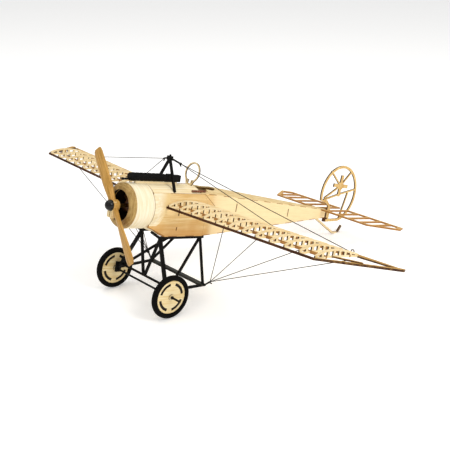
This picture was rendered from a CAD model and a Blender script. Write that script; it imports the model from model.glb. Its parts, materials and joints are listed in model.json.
# %% [markdown]
# # A rubber powered model aeroplane in laser-cut wood
#
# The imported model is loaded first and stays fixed: it is the frame that every piece is hung on.
# Sheets, ribs, spars and struts already have the right shape there, so they only get a finish.
# Round, carved and moulded pieces are made again here, with the softer edges of the real ones.

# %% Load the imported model
import json
import math

import bmesh
import bpy
from mathutils import Matrix, Vector


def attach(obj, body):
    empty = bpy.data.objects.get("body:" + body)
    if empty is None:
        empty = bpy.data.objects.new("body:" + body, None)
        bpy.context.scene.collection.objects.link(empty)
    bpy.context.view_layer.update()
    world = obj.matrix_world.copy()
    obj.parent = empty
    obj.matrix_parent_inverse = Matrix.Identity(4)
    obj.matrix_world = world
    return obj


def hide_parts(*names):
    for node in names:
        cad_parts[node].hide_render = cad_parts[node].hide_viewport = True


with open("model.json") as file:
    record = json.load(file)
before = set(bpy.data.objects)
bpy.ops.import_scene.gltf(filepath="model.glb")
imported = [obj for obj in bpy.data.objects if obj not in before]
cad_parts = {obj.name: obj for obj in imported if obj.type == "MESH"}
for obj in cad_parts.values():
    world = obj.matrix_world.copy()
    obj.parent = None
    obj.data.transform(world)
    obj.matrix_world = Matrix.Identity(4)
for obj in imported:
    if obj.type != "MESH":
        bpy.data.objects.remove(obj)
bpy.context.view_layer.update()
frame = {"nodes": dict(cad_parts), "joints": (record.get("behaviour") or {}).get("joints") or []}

scene = bpy.context.scene

# %% [markdown]
# ## A level drawing board
#
# The model stands nose up on its wheels and skid, which makes every part slant. It is easier to
# draw it level, in millimetres, and to tip each finished piece by one matrix. The propeller's
# joint gives that matrix: its axis is the nose direction and its position is the boss.

# %% The matrix from the level drawing to the stood-up model
MM = 0.001
BOSS_X = 38.1
SHAFT_Z = -2.5
joints = {joint["name"]: joint for joint in frame["joints"]}
nose = Vector(joints["propeller_spin"]["axis"]).normalized()
port = Vector((0, 1, 0))
top = Vector((-nose.z, 0, nose.x))
level_origin = Vector(joints["propeller_spin"]["pos_m"]) - (nose * BOSS_X + top * SHAFT_Z) * MM
LEVEL = (
    Matrix.Translation(level_origin)
    @ Matrix((nose, port, top)).transposed().to_4x4()
    @ Matrix.Scale(MM, 4)
)
print("nose-up angle:", round(math.degrees(math.asin(nose.z)), 2), "degrees")

# %% [markdown]
# ## Camera
#
# A three-quarter view from ahead and to port, a little above the wing. The camera is turned by
# three unit vectors instead of Euler angles, because those can be checked by eye: right, up and
# backwards are the three columns of its rotation.

# %% Camera
CAMERA_PLACE = LEVEL @ Vector((397.84, 488.36, 120.81))
level_turn = LEVEL.to_quaternion()
camera_forward = (level_turn @ Vector((-0.68694, -0.69850, -0.20053))).normalized()
camera_right = (level_turn @ Vector((-0.72664, 0.66412, 0.17591))).normalized()
camera_up = camera_right.cross(camera_forward).normalized()
camera_data = bpy.data.cameras.new("three_quarter_camera")
camera_data.lens = 64.37
camera_data.sensor_width = 36
camera_data.clip_start = 0.01
camera = bpy.data.objects.new("three_quarter_camera", camera_data)
camera.matrix_world = (
    Matrix.Translation(CAMERA_PLACE)
    @ Matrix((camera_right, camera_up, -camera_forward)).transposed().to_4x4()
)
scene.collection.objects.link(camera)
scene.camera = camera
print("camera looks down by", round(math.degrees(-math.asin(camera_forward.z)), 1), "degrees")

# %% [markdown]
# ## Floor and light
#
# A plain pale floor and large soft lights, as in a small product studio. The key light stands
# behind the port wing, so the cowl and the sides are bright and the nose ring falls into shade.

# %% Floor
FLOOR_SIZE = 12
floor_shape = bmesh.new()
bmesh.ops.create_grid(floor_shape, x_segments=1, y_segments=1, size=FLOOR_SIZE)
floor_mesh = bpy.data.meshes.new("studio_floor")
floor_shape.to_mesh(floor_mesh)
floor_shape.free()
floor = bpy.data.objects.new("studio_floor", floor_mesh)
scene.collection.objects.link(floor)
floor_paint = bpy.data.materials.new("studio_floor_paint")
floor_paint.use_nodes = True
floor_shader = floor_paint.node_tree.nodes["Principled BSDF"]
floor_shader.inputs["Base Color"].default_value = (0.95, 0.95, 0.945, 1)
floor_shader.inputs["Roughness"].default_value = 0.9
floor_shader.inputs["Emission Color"].default_value = (1, 1, 1, 1)
floor_shader.inputs["Emission Strength"].default_value = 0.24
floor_mesh.materials.append(floor_paint)

# %% Lights
def soft_light(name, place, aim, size, power, colour):
    """A square area light that looks at aim."""
    data = bpy.data.lights.new(name, "AREA")
    data.size = size
    data.energy = power
    data.color = colour
    lamp = bpy.data.objects.new(name, data)
    lamp.location = place
    lamp.rotation_euler = (Vector(aim) - Vector(place)).to_track_quat("-Z", "Y").to_euler()
    scene.collection.objects.link(lamp)
    return lamp


soft_light("key_light", (-0.25, 1.25, 1.15), (0, 0, 0.05), 0.7, 13.0, (1.0, 0.97, 0.92))
soft_light("fill_light", (1.3, 0.2, 0.9), (0, 0, 0.05), 1.4, 1.6, (1.0, 0.98, 0.95))
soft_light("top_light", (0.1, -0.3, 1.6), (0, 0, 0.05), 1.6, 8.0, (1.0, 0.98, 0.95))
world = bpy.data.worlds.new("studio_world")
world.use_nodes = True
world.node_tree.nodes["Background"].inputs["Color"].default_value = (1, 1, 1, 1)
world.node_tree.nodes["Background"].inputs["Strength"].default_value = 0.6
scene.world = world
scene.view_settings.view_transform = "Standard"

# %% [markdown]
# ## Node tools
#
# Materials are built in code, so two short helpers keep them readable: one turns a painter's hex
# colour into Blender's linear numbers, the other adds a node and connects it in one go.

# %% Node helpers
def paint(hex_code):
    """A linear RGBA colour from a painter's hex code."""
    parts = [int(hex_code[i:i + 2], 16) / 255 for i in (0, 2, 4)]
    return tuple(p / 12.92 if p < 0.04045 else ((p + 0.055) / 1.055) ** 2.4 for p in parts) + (1,)


def add_node(tree, kind, values=None, **settings):
    """Adds a node; a value that is another node's socket is linked, anything else is set."""
    made = tree.nodes.new(kind)
    for key, setting in settings.items():
        setattr(made, key, setting)
    for socket, value in (values or {}).items():
        if isinstance(value, bpy.types.NodeSocket):
            tree.links.new(value, made.inputs[socket])
        else:
            made.inputs[socket].default_value = value
    return made


def math_node(tree, operation, *values, clamp=False):
    """The value of one arithmetic step."""
    made = add_node(tree, "ShaderNodeMath", dict(enumerate(values)), operation=operation)
    made.use_clamp = clamp
    return made.outputs[0]


def mix_colours(tree, factor, first, second, blend="MIX"):
    """One colour laid over another."""
    made = add_node(tree, "ShaderNodeMix", data_type="RGBA", blend_type=blend)
    for index, value in ((0, factor), (6, first), (7, second)):
        if isinstance(value, bpy.types.NodeSocket):
            tree.links.new(value, made.inputs[index])
        else:
            made.inputs[index].default_value = value
    return made.outputs[2]


def new_group(name, inputs, outputs):
    """An empty shader node group with named sockets, and its two end nodes."""
    tree = bpy.data.node_groups.new(name, "ShaderNodeTree")
    for title, kind, value in inputs:
        socket = tree.interface.new_socket(name=title, in_out="INPUT", socket_type=kind)
        socket.default_value = value
    for title, kind in outputs:
        tree.interface.new_socket(name=title, in_out="OUTPUT", socket_type=kind)
    return tree, tree.nodes.new("NodeGroupInput"), tree.nodes.new("NodeGroupOutput")


def use_group(tree, group, values=None):
    """Places a group in a material."""
    made = tree.nodes.new("ShaderNodeGroup")
    made.node_tree = group
    for socket, value in (values or {}).items():
        if isinstance(value, bpy.types.NodeSocket):
            tree.links.new(value, made.inputs[socket])
        else:
            made.inputs[socket].default_value = value
    return made


print("white is", paint("ffffff"))

# %% [markdown]
# ## Level coordinates
#
# Grain, burnt seams and turning marks follow the aircraft, not the room. A Mapping node applies
# the inverse of the standing-up matrix, so every pattern below can be placed in the same level
# millimetres that the pieces are drawn in.

# %% Level coordinates
level_inverse = LEVEL.inverted()


def level_vector(tree):
    """Object coordinates as millimetres in the level drawing."""
    place = add_node(tree, "ShaderNodeTexCoord")
    turned = add_node(tree, "ShaderNodeMapping", {
        "Vector": place.outputs["Object"],
        "Location": level_inverse.to_translation(),
        "Rotation": level_inverse.to_euler(),
        "Scale": (1 / MM, 1 / MM, 1 / MM),
    })
    return turned.outputs["Vector"]


# %% [markdown]
# ## Wood grain
#
# Balsa and lime show long pale streaks with short darker pores. One noise is stretched along the
# grain for the streaks and a finer one makes the pores. Both live in a node group, since nearly
# every sheet on this model uses them with other colours and another grain direction.

# %% Wood grain group
grain_group, grain_in, grain_out = new_group(
    "Wood grain",
    [("Vector", "NodeSocketVector", (0, 0, 0)), ("Stretch", "NodeSocketVector", (0.03, 0.5, 0.5)),
     ("Light", "NodeSocketColor", (1, 1, 1, 1)), ("Dark", "NodeSocketColor", (0.5, 0.4, 0.3, 1)),
     ("Pores", "NodeSocketFloat", 0.3)],
    [("Colour", "NodeSocketColor"), ("Height", "NodeSocketFloat")],
)
stretched = add_node(grain_group, "ShaderNodeVectorMath", operation="MULTIPLY")
grain_group.links.new(grain_in.outputs["Vector"], stretched.inputs[0])
grain_group.links.new(grain_in.outputs["Stretch"], stretched.inputs[1])
streaks = add_node(grain_group, "ShaderNodeTexNoise", {
    "Vector": stretched.outputs[0], "Scale": 1.0, "Detail": 5.0, "Roughness": 0.62,
    "Distortion": 0.35})
pores = add_node(grain_group, "ShaderNodeTexNoise", {
    "Vector": stretched.outputs[0], "Scale": 5.5, "Detail": 2.0, "Roughness": 0.5})
streak_mask = add_node(grain_group, "ShaderNodeMapRange", {
    "Value": streaks.outputs[0], "From Min": 0.34, "From Max": 0.68},
    interpolation_type="SMOOTHSTEP")
pore_mask = add_node(grain_group, "ShaderNodeMapRange", {
    "Value": pores.outputs[0], "From Min": 0.56, "From Max": 0.7})
pore_amount = math_node(grain_group, "MULTIPLY", pore_mask.outputs[0], grain_in.outputs["Pores"])
streak_colour = mix_colours(
    grain_group, streak_mask.outputs[0], grain_in.outputs["Light"], grain_in.outputs["Dark"])
pore_colour = mix_colours(
    grain_group, pore_amount, streak_colour, grain_in.outputs["Dark"], "MULTIPLY")
grain_height = math_node(
    grain_group, "SUBTRACT", streak_mask.outputs[0], pore_amount)
grain_group.links.new(pore_colour, grain_out.inputs["Colour"])
grain_group.links.new(grain_height, grain_out.inputs["Height"])

# %% [markdown]
# ## Burnt edges
#
# A laser leaves every cut edge brown, and the flat faces clean. A cut edge is a face that looks
# across the sheet, so the mask compares the surface normal with the sheet's own axis. Noise makes
# the brown uneven, as scorching is.

# %% Burnt edge group
burnt_group, burnt_in, burnt_out = new_group(
    "Burnt edge",
    [("Vector", "NodeSocketVector", (0, 0, 0)), ("Sheet Axis", "NodeSocketVector", (0, 1, 0)),
     ("Amount", "NodeSocketFloat", 1.0), ("Up Axis", "NodeSocketVector", (0, 0, 1)),
     ("Spared Tops", "NodeSocketFloat", 0.0)],
    [("Mask", "NodeSocketFloat")],
)
facing = add_node(burnt_group, "ShaderNodeTexCoord")
across = add_node(burnt_group, "ShaderNodeVectorMath", operation="DOT_PRODUCT")
burnt_group.links.new(facing.outputs["Normal"], across.inputs[0])
burnt_group.links.new(burnt_in.outputs["Sheet Axis"], across.inputs[1])
flatness = math_node(burnt_group, "ABSOLUTE", across.outputs["Value"])
edge_mask = add_node(burnt_group, "ShaderNodeMapRange", {
    "Value": flatness, "From Min": 0.55, "From Max": 0.85, "To Min": 1.0, "To Max": 0.0})
scorch = add_node(burnt_group, "ShaderNodeTexNoise", {
    "Vector": burnt_in.outputs["Vector"], "Scale": 0.35, "Detail": 3.0})
scorch_range = add_node(burnt_group, "ShaderNodeMapRange", {
    "Value": scorch.outputs[0], "From Min": 0.3, "From Max": 0.7, "To Min": 0.55, "To Max": 1.0})
upward = add_node(burnt_group, "ShaderNodeVectorMath", operation="DOT_PRODUCT")
burnt_group.links.new(facing.outputs["Normal"], upward.inputs[0])
burnt_group.links.new(burnt_in.outputs["Up Axis"], upward.inputs[1])
looks_up = add_node(burnt_group, "ShaderNodeMapRange", {
    "Value": upward.outputs["Value"], "From Min": 0.3, "From Max": 0.75})
not_spared = math_node(burnt_group, "SUBTRACT", 1.0, math_node(
    burnt_group, "MULTIPLY", looks_up.outputs[0], burnt_in.outputs["Spared Tops"]))
edge_scorched = math_node(burnt_group, "MULTIPLY", not_spared, math_node(
    burnt_group, "MULTIPLY", edge_mask.outputs[0], scorch_range.outputs[0]))
burnt_group.links.new(
    math_node(burnt_group, "MULTIPLY", edge_scorched, burnt_in.outputs["Amount"], clamp=True),
    burnt_out.inputs["Mask"])

# %% [markdown]
# ## Burnt dashes along a seam
#
# The sides, the deck and the belly lock together with comb joints. From outside each comb is a row
# of brown dashes along the seam. The seam is level in front and slopes behind the cockpit, so the
# group measures the distance to that bent line and cuts it into dashes.

# %% Seam dash group
dash_group, dash_in, dash_out = new_group(
    "Seam dashes",
    [("Vector", "NodeSocketVector", (0, 0, 0)), ("Height", "NodeSocketFloat", 11.0),
     ("Slope", "NodeSocketFloat", 0.0946), ("Half Width", "NodeSocketFloat", 0.7),
     ("Pitch", "NodeSocketFloat", 18.0), ("Start", "NodeSocketFloat", 0.0)],
    [("Mask", "NodeSocketFloat")],
)
SLOPE_START = -45
dash_parts = add_node(dash_group, "ShaderNodeSeparateXYZ", {0: dash_in.outputs["Vector"]})
behind = math_node(dash_group, "MINIMUM", math_node(
    dash_group, "SUBTRACT", dash_parts.outputs[0], float(SLOPE_START)), 0.0)
seam_height = math_node(
    dash_group, "MULTIPLY_ADD", behind, dash_in.outputs["Slope"], dash_in.outputs["Height"])
seam_gap = math_node(dash_group, "ABSOLUTE", math_node(
    dash_group, "SUBTRACT", dash_parts.outputs[2], seam_height))
near_seam = math_node(dash_group, "LESS_THAN", seam_gap, dash_in.outputs["Half Width"])
cycle = math_node(dash_group, "FRACT", math_node(
    dash_group, "DIVIDE", dash_parts.outputs[0], dash_in.outputs["Pitch"]))
dash_on = math_node(
    dash_group, "MULTIPLY", math_node(dash_group, "LESS_THAN", cycle, 0.5),
    math_node(dash_group, "LESS_THAN", dash_parts.outputs[0], dash_in.outputs["Start"]))
dash_group.links.new(
    math_node(dash_group, "MULTIPLY", near_seam, dash_on), dash_out.inputs["Mask"])
print("node groups:", [g.name for g in bpy.data.node_groups])

# %% [markdown]
# ## Wooden finishes
#
# One function makes every wooden material: grain, an optional burnt edge and a little bump. The
# colours differ because the real sheets do: nearly white balsa, honey ply and turned tan blocks.

# %% Wood material
BURNT = paint("5a3113")
DEEP_BURNT = paint("3f210c")
ALONG_X = (0.035, 0.7, 0.7)
ALONG_Y = (0.7, 0.035, 0.7)
ALONG_Z = (0.7, 0.7, 0.05)


def wood(name, light, dark, stretch=ALONG_X, sheet_axis=None, burn=1.0, pores=0.25,
         roughness=0.62, bump=0.12, burnt=BURNT, spared_tops=0.0, specular=0.3):
    """A wooden finish, with brown cut edges where sheet_axis gives the sheet's own normal."""
    material = bpy.data.materials.new(name)
    material.use_nodes = True
    tree = material.node_tree
    shader = tree.nodes["Principled BSDF"]
    shader.inputs["Specular IOR Level"].default_value = specular
    where = level_vector(tree)
    grain = use_group(tree, grain_group, {
        "Vector": where, "Stretch": stretch, "Light": paint(light), "Dark": paint(dark),
        "Pores": pores})
    colour = grain.outputs["Colour"]
    if sheet_axis is not None:
        edges = use_group(tree, burnt_group, {
            "Vector": where, "Sheet Axis": sheet_axis, "Amount": burn,
            "Up Axis": tuple(top), "Spared Tops": spared_tops})
        colour = mix_colours(tree, edges.outputs["Mask"], colour, burnt)
    tree.links.new(colour, shader.inputs["Base Color"])
    rough = add_node(tree, "ShaderNodeMapRange", {
        "Value": grain.outputs["Height"], "From Min": 0.0, "From Max": 1.0,
        "To Min": roughness - 0.08, "To Max": roughness + 0.08})
    tree.links.new(rough.outputs[0], shader.inputs["Roughness"])
    relief = add_node(tree, "ShaderNodeBump", {
        "Height": grain.outputs["Height"], "Strength": bump, "Distance": 0.0002})
    tree.links.new(relief.outputs[0], shader.inputs["Normal"])
    return material


def recolour(material, mask, colour):
    """Lays another colour over a finished material where mask is one."""
    tree = material.node_tree
    shader = tree.nodes["Principled BSDF"]
    below = shader.inputs["Base Color"].links[0].from_socket
    tree.links.new(mix_colours(tree, mask, below, colour), shader.inputs["Base Color"])


top_axis = tuple(top)
nose_axis = tuple(nose)
SIDEWAYS = (0, 1, 0)
pale_sheet = wood("pale_balsa_sheet", "f6e8c8", "e9d2a0", pores=0.15)
deck_sheet = wood("deck_balsa_sheet", "f4e6c6", "e6cf9d", pores=0.15)
rear_deck_sheet = wood("rear_deck_sheet", "e0ca98", "cdb07a", pores=0.2)
skid_sheet = wood("skid_sheet", "efdcb0", "dcbc80", sheet_axis=SIDEWAYS, burn=1.0)
side_sheet = wood("side_ply_sheet", "eed29a", "dcb573", sheet_axis=SIDEWAYS, pores=0.2)
cheek_wood = wood("cheek_balsa", "f3e7ca", "e7d3a6", pores=0.1)
rib_sheet = wood("rib_sheet", "f1dfb6", "e0c48c", sheet_axis=SIDEWAYS, burn=1.25,
                 burnt=DEEP_BURNT, spared_tops=0.9)
tail_sheet = wood("tail_sheet", "dcb06a", "b98944", stretch=ALONG_Y, sheet_axis=top_axis,
                  burn=1.1, burnt=paint("9a642a"))
rudder_sheet = wood("rudder_sheet", "e2c486", "cba25e", stretch=ALONG_Z, sheet_axis=SIDEWAYS,
                    burn=1.3, burnt=DEEP_BURNT)
wheel_sheet = wood("wheel_sheet", "f0dfb2", "e0c384", sheet_axis=SIDEWAYS, burn=1.2,
                   burnt=DEEP_BURNT)
golden_plank = wood("golden_edge_plank", "cda052", "a3762f", stretch=ALONG_Y,
                    sheet_axis=top_axis, burn=1.2, burnt=DEEP_BURNT)
spar_stick = wood("spar_stick", "b98546", "8a5a28", stretch=ALONG_Y)
burnt_strip = wood("burnt_strip", "59341a", "371d0c", stretch=ALONG_Y, bump=0.2, specular=0.12)
former_sheet = wood(
    "former_sheet", "d2a362", "b07d3f", stretch=ALONG_Z, sheet_axis=nose_axis, burn=1.0,
    burnt=DEEP_BURNT)
frame_sheet = wood(
    "windscreen_sheet", "efdcae", "dcbc80", stretch=ALONG_Z, sheet_axis=nose_axis, burn=1.2,
    burnt=DEEP_BURNT)
cowl_wood = wood("cowl_balsa", "f4ead0", "e9d8b0", stretch=(0.6, 0.05, 0.05), pores=0.08)
ring_wood = wood("turned_ring_balsa", "bb9b5e", "8d6d38", stretch=(1.2, 0.15, 0.15), pores=0.3)
engine_wood = wood("engine_wood", "6a4420", "38200c", stretch=(0.4, 0.4, 0.4), roughness=0.5)
boss_wood = wood("boss_block_wood", "eed9a8", "d6b478", stretch=ALONG_Z)
print("wooden finishes:", len(bpy.data.materials))

# %% [markdown]
# ## Seams on the body
#
# The dashes go on the sides only: the mask reads height, so on a flat deck it would draw stripes.
# The front side panel is warmer towards its lower edge, and a thin brown line marks where it meets
# the rear one.

# %% Seams and tints on the body sheets
TOP_SEAM = {"Height": 11.0, "Slope": 0.0946}
LOWER_SEAM = {"Height": -24.6, "Slope": -0.069}
DASH_BROWN = paint("91602a")


def add_dashes(material, seam, half_width, start, pitch=18.0):
    """Brown comb-joint dashes along one seam."""
    tree = material.node_tree
    dashes = use_group(tree, dash_group, {
        "Vector": level_vector(tree), "Half Width": half_width, "Pitch": pitch, "Start": start,
        **seam})
    recolour(material, dashes.outputs["Mask"], DASH_BROWN)


def range_mask(tree, value, low, high):
    """Nought below low, one above high, and smooth between them."""
    made = add_node(tree, "ShaderNodeMapRange", {
        "Value": value, "From Min": low, "From Max": high}, interpolation_type="SMOOTHSTEP")
    return made.outputs[0]


def tint_front_side(material):
    """Honey brown that deepens towards the lower front edge."""
    tree = material.node_tree
    parts = add_node(tree, "ShaderNodeSeparateXYZ", {0: level_vector(tree)})
    cloud = add_node(tree, "ShaderNodeTexNoise", {
        "Vector": level_vector(tree), "Scale": 0.07, "Detail": 2.0})
    low = range_mask(tree, math_node(
        tree, "MULTIPLY_ADD", cloud.outputs[0], -16.0, parts.outputs[2]), -16.0, -33.0)
    recolour(material, math_node(tree, "MULTIPLY", low, 0.75), paint("c98f42"))
    rear = range_mask(tree, parts.outputs[0], -48.0, -56.0)
    recolour(material, math_node(tree, "MULTIPLY", rear, 0.7), paint("f0dcae"))


def add_line(material, start, end, half_width):
    """A thin brown line between two points of the level drawing, given as (x, z)."""
    tree = material.node_tree
    parts = add_node(tree, "ShaderNodeSeparateXYZ", {0: level_vector(tree)})
    run, rise = end[0] - start[0], end[1] - start[1]
    length = math.hypot(run, rise)
    from_start = [
        math_node(tree, "SUBTRACT", parts.outputs[axis], float(begin))
        for axis, begin in ((0, start[0]), (2, start[1]))
    ]
    across_line = math_node(tree, "ABSOLUTE", math_node(
        tree, "SUBTRACT",
        math_node(tree, "MULTIPLY", from_start[0], rise / length),
        math_node(tree, "MULTIPLY", from_start[1], run / length)))
    along_line = math_node(
        tree, "ADD",
        math_node(tree, "MULTIPLY", from_start[0], run / length),
        math_node(tree, "MULTIPLY", from_start[1], rise / length))
    inside = math_node(
        tree, "MULTIPLY",
        math_node(tree, "GREATER_THAN", along_line, 0.0),
        math_node(tree, "LESS_THAN", along_line, length))
    line = math_node(
        tree, "MULTIPLY", inside, math_node(tree, "LESS_THAN", across_line, half_width))
    recolour(material, math_node(tree, "MULTIPLY", line, 0.85), DASH_BROWN)


def add_band(material, low, high, colour, amount):
    """Colours a slice of the drawing between two stations along the nose axis."""
    tree = material.node_tree
    parts = add_node(tree, "ShaderNodeSeparateXYZ", {0: level_vector(tree)})
    inside = math_node(
        tree, "MULTIPLY", math_node(tree, "GREATER_THAN", parts.outputs[0], low),
        math_node(tree, "LESS_THAN", parts.outputs[0], high))
    recolour(material, math_node(tree, "MULTIPLY", inside, amount), colour)


def darken_inside(material, radius):
    """Near black wherever a turned piece is closer to the shaft line than radius."""
    tree = material.node_tree
    parts = add_node(tree, "ShaderNodeSeparateXYZ", {0: level_vector(tree)})
    height = math_node(tree, "SUBTRACT", parts.outputs[2], SHAFT_Z)
    squared = math_node(
        tree, "MULTIPLY_ADD", height, height,
        math_node(tree, "MULTIPLY", parts.outputs[1], parts.outputs[1]))
    within = math_node(tree, "LESS_THAN", squared, radius ** 2)
    recolour(material, within, paint("1e1308"))


def fade_cheek(material):
    """Pale at the cowl and the honey of the side sheet at the wing root."""
    tree = material.node_tree
    parts = add_node(tree, "ShaderNodeSeparateXYZ", {0: level_vector(tree)})
    recolour(material, range_mask(tree, parts.outputs[0], 7.0, -3.5), paint("e8ca8f"))


COWL_SEAM_BROWN = paint("7a4a1e")
tint_front_side(side_sheet)
add_line(side_sheet, (-40.5, 11), (-54.6, 0.5), 0.25)
add_line(side_sheet, (12.2, 10.9), (-41, 10.9), 0.3)
add_line(side_sheet, (12.2, -17.4), (-5, -24.6), 0.9)
add_dashes(side_sheet, TOP_SEAM, 0.4, -45.0)
add_dashes(side_sheet, LOWER_SEAM, 0.6, 0.0)
add_line(deck_sheet, (-8.5, 9), (-8.5, 17), 0.2)
add_band(cowl_wood, 12.1, 12.6, COWL_SEAM_BROWN, 0.6)
darken_inside(cowl_wood, 17.0)
darken_inside(ring_wood, 12.35)
fade_cheek(cheek_wood)
add_band(skid_sheet, -260.0, -237.5, DEEP_BURNT, 0.8)
print("seams drawn on", side_sheet.name, deck_sheet.name, cowl_wood.name)

# %% [markdown]
# ## Painted, metal, rubber and thread finishes
#
# The black fittings are painted wood, so they keep a trace of grain under a matt paint that wears
# brown at its corners. Rubber is duller, the cap is glossy and the wires are drawn steel.

# %% Plain finishes with their own surface
def finish(name, light, dark, scale, roughness, bump=0.1, metallic=0.0, spread=0.1,
           stretch=(1, 1, 1), specular=0.5):
    """A finish whose colour, roughness and bump all follow one fine noise."""
    material = bpy.data.materials.new(name)
    material.use_nodes = True
    tree = material.node_tree
    shader = tree.nodes["Principled BSDF"]
    shader.inputs["Metallic"].default_value = metallic
    shader.inputs["Specular IOR Level"].default_value = specular
    stretched_place = add_node(tree, "ShaderNodeVectorMath", {
        0: level_vector(tree), 1: stretch}, operation="MULTIPLY")
    speckle = add_node(tree, "ShaderNodeTexNoise", {
        "Vector": stretched_place.outputs[0], "Scale": scale, "Detail": 4.0, "Roughness": 0.6})
    blend = range_mask(tree, speckle.outputs[0], 0.35, 0.65)
    tree.links.new(
        mix_colours(tree, blend, paint(light), paint(dark)), shader.inputs["Base Color"])
    rough = add_node(tree, "ShaderNodeMapRange", {
        "Value": speckle.outputs[0], "To Min": roughness - spread, "To Max": roughness + spread})
    tree.links.new(rough.outputs[0], shader.inputs["Roughness"])
    relief = add_node(tree, "ShaderNodeBump", {
        "Height": speckle.outputs[0], "Strength": bump, "Distance": 0.0003})
    tree.links.new(relief.outputs[0], shader.inputs["Normal"])
    return material


black_paint = finish("black_painted_wood", "100f0d", "070606", 0.8, 0.6, bump=0.25,
                     specular=0.1)
plank_paint = finish("olive_painted_plank", "2f2f25", "1d1d17", 0.5, 0.55, stretch=(1, 0.1, 1),
                     specular=0.2)
tyre_rubber = finish("tyre_rubber", "0d0c0b", "060505", 1.5, 0.8, bump=0.2, specular=0.08)
cap_gloss = finish("cap_gloss", "0a0909", "040404", 0.5, 0.25, bump=0.02, spread=0.05,
                   specular=0.3)
slot_dark = finish("slot_dark", "1c120a", "0f0a06", 1.0, 0.9)
steel_wire = finish("steel_wire", "b9b8b2", "8d8b84", 0.9, 0.32, metallic=1.0)
brass_tube = finish("brass_tube", "c9a35a", "a37c3a", 0.9, 0.35, metallic=1.0)
peg_tube = finish("peg_tube", "cfcfca", "aeaea8", 0.9, 0.35, metallic=1.0)
rubber_band = finish("rubber_band", "8b7b5e", "6d5f48", 0.6, 0.7)
thread_grey = finish("grey_thread", "4b4843", "2e2c29", 3.0, 0.8, bump=0.4, specular=0.1)
black_wire = finish("black_wire", "11100f", "080807", 1.2, 0.45, specular=0.15)
brown_pad = finish("brown_leather_pad", "8a4a20", "5c2c10", 0.7, 0.55, bump=0.5)

# %% [markdown]
# ## Propeller wood
#
# The propeller is carved from one stick, so its grain runs along the blades. The Mapping node's
# turn is folded into one extra rotation about the nose axis, by the angle the blades are parked at.

# %% Propeller finish
BLADE_PARK = math.radians(41)


def propeller_finish():
    """Honey brown wood whose streaks run from tip to tip."""
    material = wood("propeller_wood", "cfa055", "a67a30", stretch=(0.9, 0.9, 0.05), pores=0.5,
                    roughness=0.45, bump=0.2)
    tree = material.node_tree
    grain = next(n for n in tree.nodes if n.type == "GROUP" and n.node_tree == grain_group)
    turned = add_node(tree, "ShaderNodeMapping", {
        "Vector": level_vector(tree), "Rotation": (-BLADE_PARK, 0, 0)})
    tree.links.new(turned.outputs[0], grain.inputs["Vector"])
    return material


propeller_wood = propeller_finish()

# %% [markdown]
# ## Shape helpers
#
# Four helpers cover nearly every round or blocky piece. `turn_outline` spins a closed outline, as
# a lathe would. `rod` and `block` start from Blender's own cone and cube. `hang_piece` tips the
# result into place, marks its sharp edges and tells the frame what it is and what it rides on.

# %% Shape helpers
X_AXIS = Vector((1, 0, 0))
Y_AXIS = Vector((0, 1, 0))
Z_AXIS = Vector((0, 0, 1))


def turn_outline(shape, outline, centre, axis, steps=64, angle=2 * math.pi):
    """Spins a closed outline of (along the axis, radius) points about an axis through centre."""
    axis = Vector(axis).normalized()
    centre = Vector(centre)
    across_axis = axis.orthogonal().normalized()
    points = [shape.verts.new(centre + axis * along + across_axis * radius)
              for along, radius in outline]
    rim = [shape.edges.new((points[i], points[(i + 1) % len(points)]))
           for i in range(len(points))]
    bmesh.ops.spin(shape, geom=points + rim, cent=centre, axis=axis, angle=angle,
                   steps=steps, use_merge=True, use_duplicate=False)
    bmesh.ops.remove_doubles(shape, verts=shape.verts, dist=0.0005)


def rod(shape, start, end, radius, segments=16):
    """A round bar between two points."""
    start, end = Vector(start), Vector(end)
    made = bmesh.ops.create_cone(
        shape, cap_ends=True, segments=segments, radius1=radius, radius2=radius,
        depth=(end - start).length)
    turn = Z_AXIS.rotation_difference(end - start).to_matrix().to_4x4()
    bmesh.ops.transform(
        shape, matrix=Matrix.Translation((start + end) / 2) @ turn, verts=made["verts"])


def block(shape, size, centre, bevel=0.3, turn=None):
    """A box with softened edges."""
    made = bmesh.ops.create_cube(shape, size=1)
    bmesh.ops.scale(shape, vec=Vector(size), verts=made["verts"])
    place = Matrix.Translation(Vector(centre)) @ (turn or Matrix.Identity(4))
    bmesh.ops.transform(shape, matrix=place, verts=made["verts"])
    edges = list({edge for vert in made["verts"] for edge in vert.link_edges})
    bmesh.ops.bevel(shape, geom=edges, offset=bevel, segments=2, profile=0.5,
                    affect="EDGES", material=-1)


def hang_piece(name, shape, material, body, stands_for=(), sharp=35):
    """Turns a level shape into a finished object that rides on a body."""
    bmesh.ops.recalc_face_normals(shape, faces=shape.faces)
    bmesh.ops.transform(shape, matrix=LEVEL, verts=shape.verts)
    mesh = bpy.data.meshes.new(name)
    shape.to_mesh(mesh)
    shape.free()
    mesh.materials.append(material)
    mesh.shade_smooth()
    mesh.set_sharp_from_angle(angle=math.radians(sharp))
    piece = bpy.data.objects.new(name, mesh)
    scene.collection.objects.link(piece)
    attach(piece, body)
    if stands_for:
        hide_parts(*stands_for)
    print(name, "faces:", len(mesh.polygons))
    return piece


# %% [markdown]
# ## Cowl
#
# The cowl is a tube of pale balsa with a turned ring in front. Both are lathe shapes, so a spun
# outline is the natural way: the ring's outline carries the round shoulder and the soft inner lip.

# %% Cowl skin and ring
COWL_R = 18.0
COWL_BACK = 12.2
COWL_SEAM = 29.4
COWL_FRONT = 33.5
MOUTH_R = 12.0
AXIS_POINT = (0, 0, SHAFT_Z)

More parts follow.
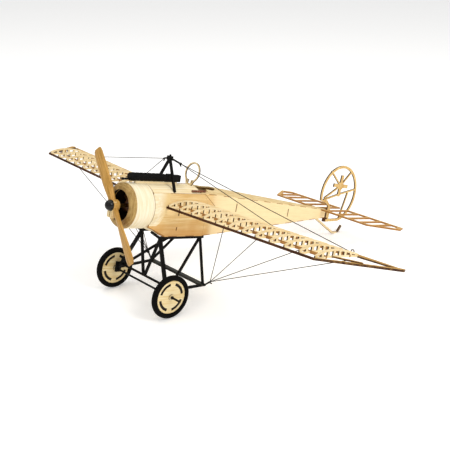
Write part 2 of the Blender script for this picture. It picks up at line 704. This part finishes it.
shape = bmesh.new()
turn_outline(shape, [
    (COWL_BACK, COWL_R - 1.3), (COWL_BACK, COWL_R - 0.25), (COWL_BACK + 0.25, COWL_R),
    (COWL_SEAM - 0.2, COWL_R), (COWL_SEAM, COWL_R - 0.2), (COWL_SEAM, COWL_R - 1.3),
], AXIS_POINT, X_AXIS, steps=96)
hang_piece("cowl_skin_turned", shape, cowl_wood, "airframe", ["cowl_skin"])

SHOULDER = 4.0
ring_outline = [(COWL_SEAM + 0.1, MOUTH_R + 0.6), (COWL_SEAM + 0.1, COWL_R - 0.05)]
for step in range(9):
    bend = math.radians(90 * step / 8)
    ring_outline.append((
        COWL_FRONT - SHOULDER + SHOULDER * math.sin(bend),
        COWL_R - 0.05 - SHOULDER + SHOULDER * math.cos(bend)))
ring_outline += [(COWL_FRONT, MOUTH_R + 0.8), (COWL_FRONT - 0.3, MOUTH_R + 0.2),
                 (COWL_FRONT - 0.9, MOUTH_R)]
shape = bmesh.new()
turn_outline(shape, ring_outline, AXIS_POINT, X_AXIS, steps=96)
hang_piece("cowl_ring_turned", shape, ring_wood, "airframe", ["cowl_ring"])

# %% [markdown]
# ## Engine
#
# A small rotary engine sits in the mouth of the cowl. Each cylinder is a spun zigzag outline, so
# its cooling fins are real edges; seven of them stand round a turned crankcase.

# %% Finned cylinders and crankcase
CYLINDERS = 7
ENGINE_X = 19.0
FIN_COUNT = 8
shape = bmesh.new()
for number in range(CYLINDERS):
    around = math.radians(number * 360 / CYLINDERS + 13)
    outward = Vector((0, -math.sin(around), math.cos(around)))
    outline = [(4.0, 0.0), (4.0, 1.7)]
    for fin in range(FIN_COUNT):
        low = 4.8 + fin * 1.05
        outline += [(low, 1.7), (low + 0.1, 2.3), (low + 0.5, 2.3), (low + 0.6, 1.7)]
    outline += [(13.3, 1.6), (13.3, 0.0)]
    turn_outline(shape, outline, (ENGINE_X, 0, SHAFT_Z), outward, steps=18)
turn_outline(shape, [
    (COWL_BACK, 1.6), (COWL_BACK, 5.4), (23.6, 5.4), (24.6, 4.6), (25.0, 3.2), (25.0, 1.6),
], AXIS_POINT, X_AXIS, steps=32)
hang_piece("engine_finned", shape, engine_wood, "airframe", ["engine"])

# %% [markdown]
# ## Propeller
#
# A blade is a loft: one ring of points is extruded from the boss to the tip, and at each step it is
# made wider or thinner and twisted to the local pitch. That is what the extrude, scale and rotate
# operators do, and it keeps the section round-edged all the way. The two blades are the same
# shape, half a turn apart.

# %% Blades and boss
BLADE_STATIONS = [  # distance from the shaft, width, pitch in degrees, thickness
    (2.0, 4.8, 50, 4.6), (8.0, 6.0, 37, 4.3), (14.0, 7.4, 28, 3.8), (20.0, 8.6, 20, 3.3),
    (27.0, 9.5, 13, 2.8), (34.0, 10.1, 9, 2.4), (41.0, 10.1, 6, 2.0), (45.5, 9.9, 5, 1.8),
    (48.2, 8.8, 4, 1.5), (49.3, 7.0, 4, 1.1),
]
SECTION_POINTS = 16


def loft_blade(shape, half_turn):
    """One blade, upright first, then turned to where it is parked."""
    made = bmesh.ops.create_circle(shape, segments=SECTION_POINTS, radius=0.5)
    ring = made["verts"]
    rim = list({edge for vert in ring for edge in vert.link_edges})
    every = list(ring)
    bmesh.ops.contextual_create(shape, geom=rim)
    reach, width, pitch, thickness = BLADE_STATIONS[0]
    bmesh.ops.scale(shape, vec=(thickness, width, 1), verts=ring)
    bmesh.ops.rotate(shape, cent=(0, 0, 0), matrix=Matrix.Rotation(math.radians(pitch), 3, "Z"),
                     verts=ring)
    bmesh.ops.translate(shape, vec=(0, 0, reach), verts=ring)
    for new_reach, new_width, new_pitch, new_thickness in BLADE_STATIONS[1:]:
        grown = bmesh.ops.extrude_edge_only(shape, edges=rim)["geom"]
        ring = [item for item in grown if isinstance(item, bmesh.types.BMVert)]
        rim = [item for item in grown if isinstance(item, bmesh.types.BMEdge)]
        rim = [edge for edge in rim if all(vert in ring for vert in edge.verts)]
        every += ring
        bmesh.ops.translate(shape, vec=(0, 0, -reach), verts=ring)
        bmesh.ops.rotate(shape, cent=(0, 0, 0),
                         matrix=Matrix.Rotation(math.radians(-pitch), 3, "Z"), verts=ring)
        bmesh.ops.scale(shape, vec=(new_thickness / thickness, new_width / width, 1), verts=ring)
        bmesh.ops.rotate(shape, cent=(0, 0, 0),
                         matrix=Matrix.Rotation(math.radians(new_pitch), 3, "Z"), verts=ring)
        bmesh.ops.translate(shape, vec=(0, 0, new_reach), verts=ring)
        reach, width, pitch, thickness = new_reach, new_width, new_pitch, new_thickness
    bmesh.ops.contextual_create(shape, geom=rim)
    park = Matrix.Translation((BOSS_X, 0, SHAFT_Z)) @ Matrix.Rotation(
        BLADE_PARK + half_turn, 4, "X")
    bmesh.ops.transform(shape, matrix=park, verts=every)


BOSS_BACK, BOSS_FRONT = 35.2, 41.0
BLOCK_X = BOSS_FRONT - 1.5
shape = bmesh.new()
for half_turn in (0, math.pi):
    loft_blade(shape, half_turn)
turn_outline(shape, [
    (BOSS_BACK, 0.76), (BOSS_BACK, 4.2), (BOSS_BACK + 0.4, 4.6), (BOSS_FRONT - 0.4, 4.6),
    (BOSS_FRONT, 4.2), (BOSS_FRONT, 0.76),
], AXIS_POINT, X_AXIS, steps=32)
hang_piece("propeller_carved", shape, propeller_wood, "propeller_body",
           ["propeller"], sharp=50)

shape = bmesh.new()
block(shape, (3.0, 6.8, 8.2), (BLOCK_X, 0, SHAFT_Z - 0.7), 0.3)
for side in (-1, 1):
    block(shape, (3.0, 2.8, 5.4), (BLOCK_X, side * 2.0, SHAFT_Z - 6.9), 0.3)
block(shape, (1.4, 1.6, 5.0), (BLOCK_X - 0.8, 0, SHAFT_Z - 6.9), 0.1)
hang_piece("boss_block", shape, boss_wood, "propeller_body")

shape = bmesh.new()
block(shape, (0.5, 1.2, 4.4), (BLOCK_X + 0.2, 0, SHAFT_Z - 7.2), 0.05)
hang_piece("boss_slot_shadow", shape, slot_dark, "propeller_body")

# %% [markdown]
# ## Propeller cap
#
# The nut over the boss is a glossy black dome with a thin rim. A spun quarter circle gives a dome
# whose highlight runs clean across it.

# %% Domed cap
CAP_R = 4.4
cap_outline = [(BOSS_FRONT + 0.05, 0.77), (BOSS_FRONT + 0.05, CAP_R), (BOSS_FRONT + 0.7, CAP_R),
               (BOSS_FRONT + 0.8, CAP_R - 0.25)]
for step in range(1, 10):
    bend = math.radians(85 * step / 9)
    cap_outline.append((
        BOSS_FRONT + 0.8 + 4.0 * math.sin(bend), (CAP_R - 0.25) * math.cos(bend)))
cap_outline.append((BOSS_FRONT + 4.8, 0.0))
cap_outline.append((BOSS_FRONT + 4.5, 0.0))
cap_outline.append((BOSS_FRONT + 4.5, 0.77))
shape = bmesh.new()
turn_outline(shape, cap_outline, AXIS_POINT, X_AXIS, steps=48)
hang_piece("propeller_cap_domed", shape, cap_gloss, "propeller_body",
           ["propeller_cap"])

# %% [markdown]
# ## Tyres
#
# The tyres are turned from black rubber: round tread, slightly flatter walls. The wheel sheets have
# four curved slots which look black, because a dark liner closes them halfway through the sheet.

# %% Tyres and slot liners
WHEEL_R = 17.5
TRACK_HALF = 38.0
AXLE = Vector((-0.5, 0, -66.0))
TYRE_HALF_WIDTH, TYRE_HALF_DEPTH = 2.5, 2.1
for side, word in ((1, "left"), (-1, "right")):
    hub = AXLE + Y_AXIS * side * TRACK_HALF
    outline = []
    for step in range(20):
        bend = 2 * math.pi * step / 20
        flat = abs(math.cos(bend)) ** 0.8 * math.copysign(1, math.cos(bend))
        outline.append((
            TYRE_HALF_WIDTH * flat, WHEEL_R - TYRE_HALF_DEPTH + TYRE_HALF_DEPTH * math.sin(bend)))
    shape = bmesh.new()
    turn_outline(shape, outline, hub, Y_AXIS, steps=96)
    hang_piece(f"tyre_{word}_turned", shape, tyre_rubber, f"wheel_{word}",
               [f"tyre_{word}"])
    shape = bmesh.new()
    turn_outline(shape, [(-0.3, 9.1), (-0.3, 11.9), (0.3, 11.9), (0.3, 9.1)], hub, Y_AXIS)
    hang_piece(f"slot_liner_{word}", shape, slot_dark, f"wheel_{word}")

# %% [markdown]
# ## Front deck
#
# The deck in front of the cockpit is one sheet bent over the sides. A straight edge swept through
# the arc makes the bent surface, and Solidify inside bmesh gives it the thickness of the sheet.

# %% Curved front deck
DECK_BACK, DECK_TOP, BODY_HALF, BODY_TOP = -36.0, 15.5, 13.5, 11.05
deck_rise = DECK_TOP - BODY_TOP
deck_radius = (BODY_HALF ** 2 + deck_rise ** 2) / (2 * deck_rise)
deck_centre = Vector((0, 0, DECK_TOP - deck_radius))
half_arc = math.asin(BODY_HALF / deck_radius)
shape = bmesh.new()
ends = [shape.verts.new(deck_centre + Vector((x, 0, deck_radius)))
        for x in (DECK_BACK, DECK_BACK / 2, 0, COWL_BACK)]
straight = [shape.edges.new(pair) for pair in zip(ends, ends[1:])]
bmesh.ops.rotate(shape, cent=deck_centre, matrix=Matrix.Rotation(-half_arc, 3, "X"), verts=ends)
bmesh.ops.spin(shape, geom=ends + straight, cent=deck_centre, axis=X_AXIS, angle=2 * half_arc,
               steps=32, use_merge=False, use_duplicate=False)
bmesh.ops.recalc_face_normals(shape, faces=shape.faces)
if sum(face.normal.z for face in shape.faces) < 0:
    bmesh.ops.reverse_faces(shape, faces=shape.faces)
bmesh.ops.solidify(shape, geom=shape.faces[:], thickness=0.9)
hang_piece("front_deck_bent", shape, deck_sheet, "airframe", ["front_deck"])

# %% [markdown]
# ## Cheeks
#
# Behind the round cowl a pale fairing leads into the flat side. At the cowl it has the cowl's
# curve, and it dies away towards the wing root. A grid is laid on the side and its points are
# pushed out by that fading curve, then the sheet gets its thickness.

# %% Cheek fairings
CHEEK_BACK = -4.6
CHEEK_SPAN = COWL_BACK - 0.1 - CHEEK_BACK


def ease(value):
    """Smooth step from nought to one."""
    value = min(1.0, max(0.0, value))
    return value * value * (3 - 2 * value)


def cheek_edge(x):
    """Height of the fairing's lower edge at station x."""
    return -1.5 - 14.2 * math.sqrt(ease((x - CHEEK_BACK) / 10.5))


for side, word in ((1, "left"), (-1, "right")):
    shape = bmesh.new()
    bmesh.ops.create_grid(shape, x_segments=28, y_segments=32, size=0.5)
    for vert in shape.verts:
        along, upward = vert.co.x + 0.5, vert.co.y + 0.5
        x = CHEEK_BACK + along * CHEEK_SPAN
        low_edge = cheek_edge(x)
        z = low_edge + upward * (BODY_TOP - 0.1 - low_edge)
        radius = BODY_HALF + 4.3 * ease((x + 4) / 16)
        reach = radius ** 2 - (z - SHAFT_Z) ** 2
        bulge = max(0.0, math.sqrt(max(0.0, reach)) - BODY_HALF)
        lip = 0.3 * ease(upward * 14) * ease(along * 10)
        vert.co = Vector((x, BODY_HALF + 0.04 + bulge + lip, z))
    bmesh.ops.smooth_vert(shape, verts=[v for v in shape.verts if not v.is_boundary],
                          factor=0.5, use_axis_y=True)
    bmesh.ops.recalc_face_normals(shape, faces=shape.faces)
    if sum(face.normal.y for face in shape.faces) < 0:
        bmesh.ops.reverse_faces(shape, faces=shape.faces)
    bmesh.ops.solidify(shape, geom=shape.faces[:], thickness=0.25)
    if side < 0:
        bmesh.ops.scale(shape, vec=(1, -1, 1), verts=shape.verts)
    hang_piece(f"cheek_{word}_faired", shape, cheek_wood, "airframe",
               [f"cheek_{word}"], sharp=60)

# %% [markdown]
# ## Gun
#
# The dummy gun is a round jacket with raised bands, a blunt muzzle end, and a square receiver with
# a handle. Its cooling slots are inset faces pushed inwards on the spun jacket, which casts a real
# shadow and costs few faces.

# %% Gun jacket, barrel and receiver
GUN_Z = 20.4
jacket = [(-6.0, 0.0), (-6.0, 2.9), (-5.4, 3.1)]
for band in range(8):
    start = -4.6 + band * 4.0
    jacket += [(start, 3.1), (start + 2.8, 3.1), (start + 3.0, 3.25), (start + 3.8, 3.25)]
jacket += [(27.6, 3.1), (28.2, 2.6), (28.2, 0.0)]
GUN_SIDES = 20
SMALLEST_SLOT_AREA = 1.75
SLOTS_END_X = 26
shape = bmesh.new()
turn_outline(shape, jacket, (0, 0, GUN_Z), X_AXIS, steps=GUN_SIDES)
slots = []
for face in shape.faces:
    slot_middle = face.calc_center_median()
    turn = math.atan2(slot_middle.y, slot_middle.z - GUN_Z) + math.pi
    slot_column = int(turn / (2 * math.pi) * GUN_SIDES)
    if (face.calc_area() > SMALLEST_SLOT_AREA and slot_middle.x < SLOTS_END_X
            and slot_column % 2 == 0 and abs(face.normal.x) < 0.1):
        slots.append(face)
bmesh.ops.inset_individual(shape, faces=slots, thickness=0.18, depth=-0.3)
rod(shape, (34.6, 0, GUN_Z - 1.9), (27.0, 0, GUN_Z - 1.9), 0.8)
rod(shape, (34.6, 0, GUN_Z - 1.9), (33.2, 0, GUN_Z - 1.9), 1.05)
block(shape, (16.5, 4.2, 5.6), (-13.85, 0, GUN_Z - 0.2), 0.5)
block(shape, (6.0, 4.6, 1.6), (-12.0, 0, GUN_Z + 2.3), 0.3)
block(shape, (1.2, 3.4, 4.2), (-21.4, 0, GUN_Z - 0.6), 0.3)
hang_piece("gun_machined", shape, black_paint, "airframe", ["gun"])

# %% [markdown]
# ## Cockpit rim
#
# Two brown padded strips lie along the cockpit's edges. A padded strip is a block with wide bevels
# and a row of pinches, so it reads as stitched leather at this size.

# %% Padded rim strips
shape = bmesh.new()
for side in (-1, 1):
    for pad in range(5):
        block(shape, (2.75, 2.7, 1.5), (-39.6 + pad * 2.8, side * 12.5, 12.85), 0.55)
hang_piece("cockpit_rim_padded", shape, brown_pad, "airframe",
           ["cockpit_rim"], sharp=60)

# %% [markdown]
# ## Links, eyelets and knots
#
# The rigging ends in small blackened wire fittings: a forked link at the pylon and at each lower
# corner of the undercarriage, and a ring where a thread passes the rear edge of the wing.

# %% Wire fittings
DIHEDRAL = math.radians(2)


def on_wing(x, y, z):
    """A point of the port wing, given along its own slope."""
    return Vector((x, y * math.cos(DIHEDRAL) - z * math.sin(DIHEDRAL),
                   -0.95 + y * math.sin(DIHEDRAL) + z * math.cos(DIHEDRAL)))


def mirrored(point, side):
    """The same point on either side of the aircraft."""
    return Vector((point[0], side * point[1], point[2]))


def ring_fitting(shape, centre, axis, radius, wire):
    """A closed wire ring."""
    outline = [(wire * math.sin(a), radius + wire * math.cos(a))
               for a in (2 * math.pi * k / 10 for k in range(10))]
    turn_outline(shape, outline, centre, axis, steps=24)


PYLON_TOP = Vector((-9, 0, 36.4))
LOWER_CORNER = Vector((-36.4, 35.2, -59.8))
TOP_SPOTS = ((-51, 85, 0.9), (-51, 161, 0.9))
LOW_SPOTS = ((-15, 68, 0.2), (-40, 89, 0), (-40, 135, 0), (-26, 177, 0.6))
TOP_AIM = (on_wing(*TOP_SPOTS[0]) + on_wing(*TOP_SPOTS[1])) / 2
LOW_AIM = (on_wing(*LOW_SPOTS[1]) + on_wing(*LOW_SPOTS[2])) / 2
shape = bmesh.new()
for side in (-1, 1):
    head = PYLON_TOP + Y_AXIS * 2.3
    for start, aim, length in ((head, TOP_AIM, 9), (LOWER_CORNER, LOW_AIM, 8)):
        direction = (aim - start).normalized()
        end = start + direction * length
        rod(shape, mirrored(start, side), mirrored(end, side), 0.75, 10)
        ring_fitting(shape, mirrored(end, side), mirrored(direction.orthogonal(), side), 0.9, 0.3)
        fork = direction.cross(X_AXIS).normalized()
        rod(shape, mirrored(end - direction * 1.5, side),
            mirrored(end + direction * 1.2 + fork * 1.9, side), 0.5, 8)
    ring_fitting(shape, mirrored(on_wing(-51.5, 161, 1.6), side), X_AXIS, 1.3, 0.35)
hang_piece("rigging_fittings", shape, black_wire, "airframe", ["wire_hooks"],
           sharp=60)

# %% [markdown]
# ## Rigging threads
#
# Each link fans out into taut threads: two to the rear edge of the wing from the pylon, and four to
# the spars from each lower corner. They are held at both ends, so they are straight rods.

# %% Taut threads
THREAD_R = 0.3
shape = bmesh.new()
for side in (-1, 1):
    upper = PYLON_TOP + Y_AXIS * 2.3
    for start, aim, length, spots in (
            (upper, TOP_AIM, 9, TOP_SPOTS), (LOWER_CORNER, LOW_AIM, 8, LOW_SPOTS)):
        link = start + (aim - start).normalized() * length
        for spot in spots:
            rod(shape, mirrored(link, side), mirrored(on_wing(*spot), side), THREAD_R, 8)
hang_piece("rigging_threads", shape, thread_grey, "airframe",
           ["top_wires", "bottom_wires"], sharp=60)

# %% [markdown]
# ## Finishes on the CAD sheets
#
# Every other node keeps its CAD shape. Its faces are loose triangles with the right direction, so
# only its material changes: one table says which finish each node wears.

# %% Dress the CAD nodes
NODE_FINISHES = {
    side_sheet: ["side_front_left", "side_front_right", "side_rear_left", "side_rear_right"],
    rear_deck_sheet: ["rear_deck"],
    pale_sheet: ["belly_front", "belly_rear", "gun_mounts"],
    skid_sheet: ["tail_skid"],
    rib_sheet: ["ribs_left", "ribs_right"],
    golden_plank: ["trailing_edge_left", "trailing_edge_right",
                   "wing_tip_left", "wing_tip_right"],
    spar_stick: ["front_spar_left", "front_spar_right", "rear_spar_left", "rear_spar_right"],
    burnt_strip: ["leading_edge_left", "leading_edge_right", "stern_post"],
    tail_sheet: ["tailplane_left", "tailplane_right"],
    rudder_sheet: ["rudder"],
    wheel_sheet: ["wheel_disc_left", "wheel_disc_right"],
    former_sheet: ["formers"],
    engine_wood: ["firewall"],
    frame_sheet: ["windscreen_frame"],
    black_paint: ["gear_rails", "front_struts_left", "front_struts_right", "rear_struts_left",
                  "rear_struts_right", "spreader_bar", "pylon"],
    plank_paint: ["spreader_plank"],
    steel_wire: ["propeller_shaft", "rudder_pins"],
    black_wire: ["axle", "wheel_collars"],
    brass_tube: ["bearing_tube"],
    peg_tube: ["motor_peg"],
    rubber_band: ["rubber_motor"],
}
for material, names in NODE_FINISHES.items():
    for name in names:
        faces = frame["nodes"][name].data
        faces.materials.clear()
        faces.materials.append(material)
dressed = sum(len(names) for names in NODE_FINISHES.values())
print("CAD nodes dressed:", dressed)
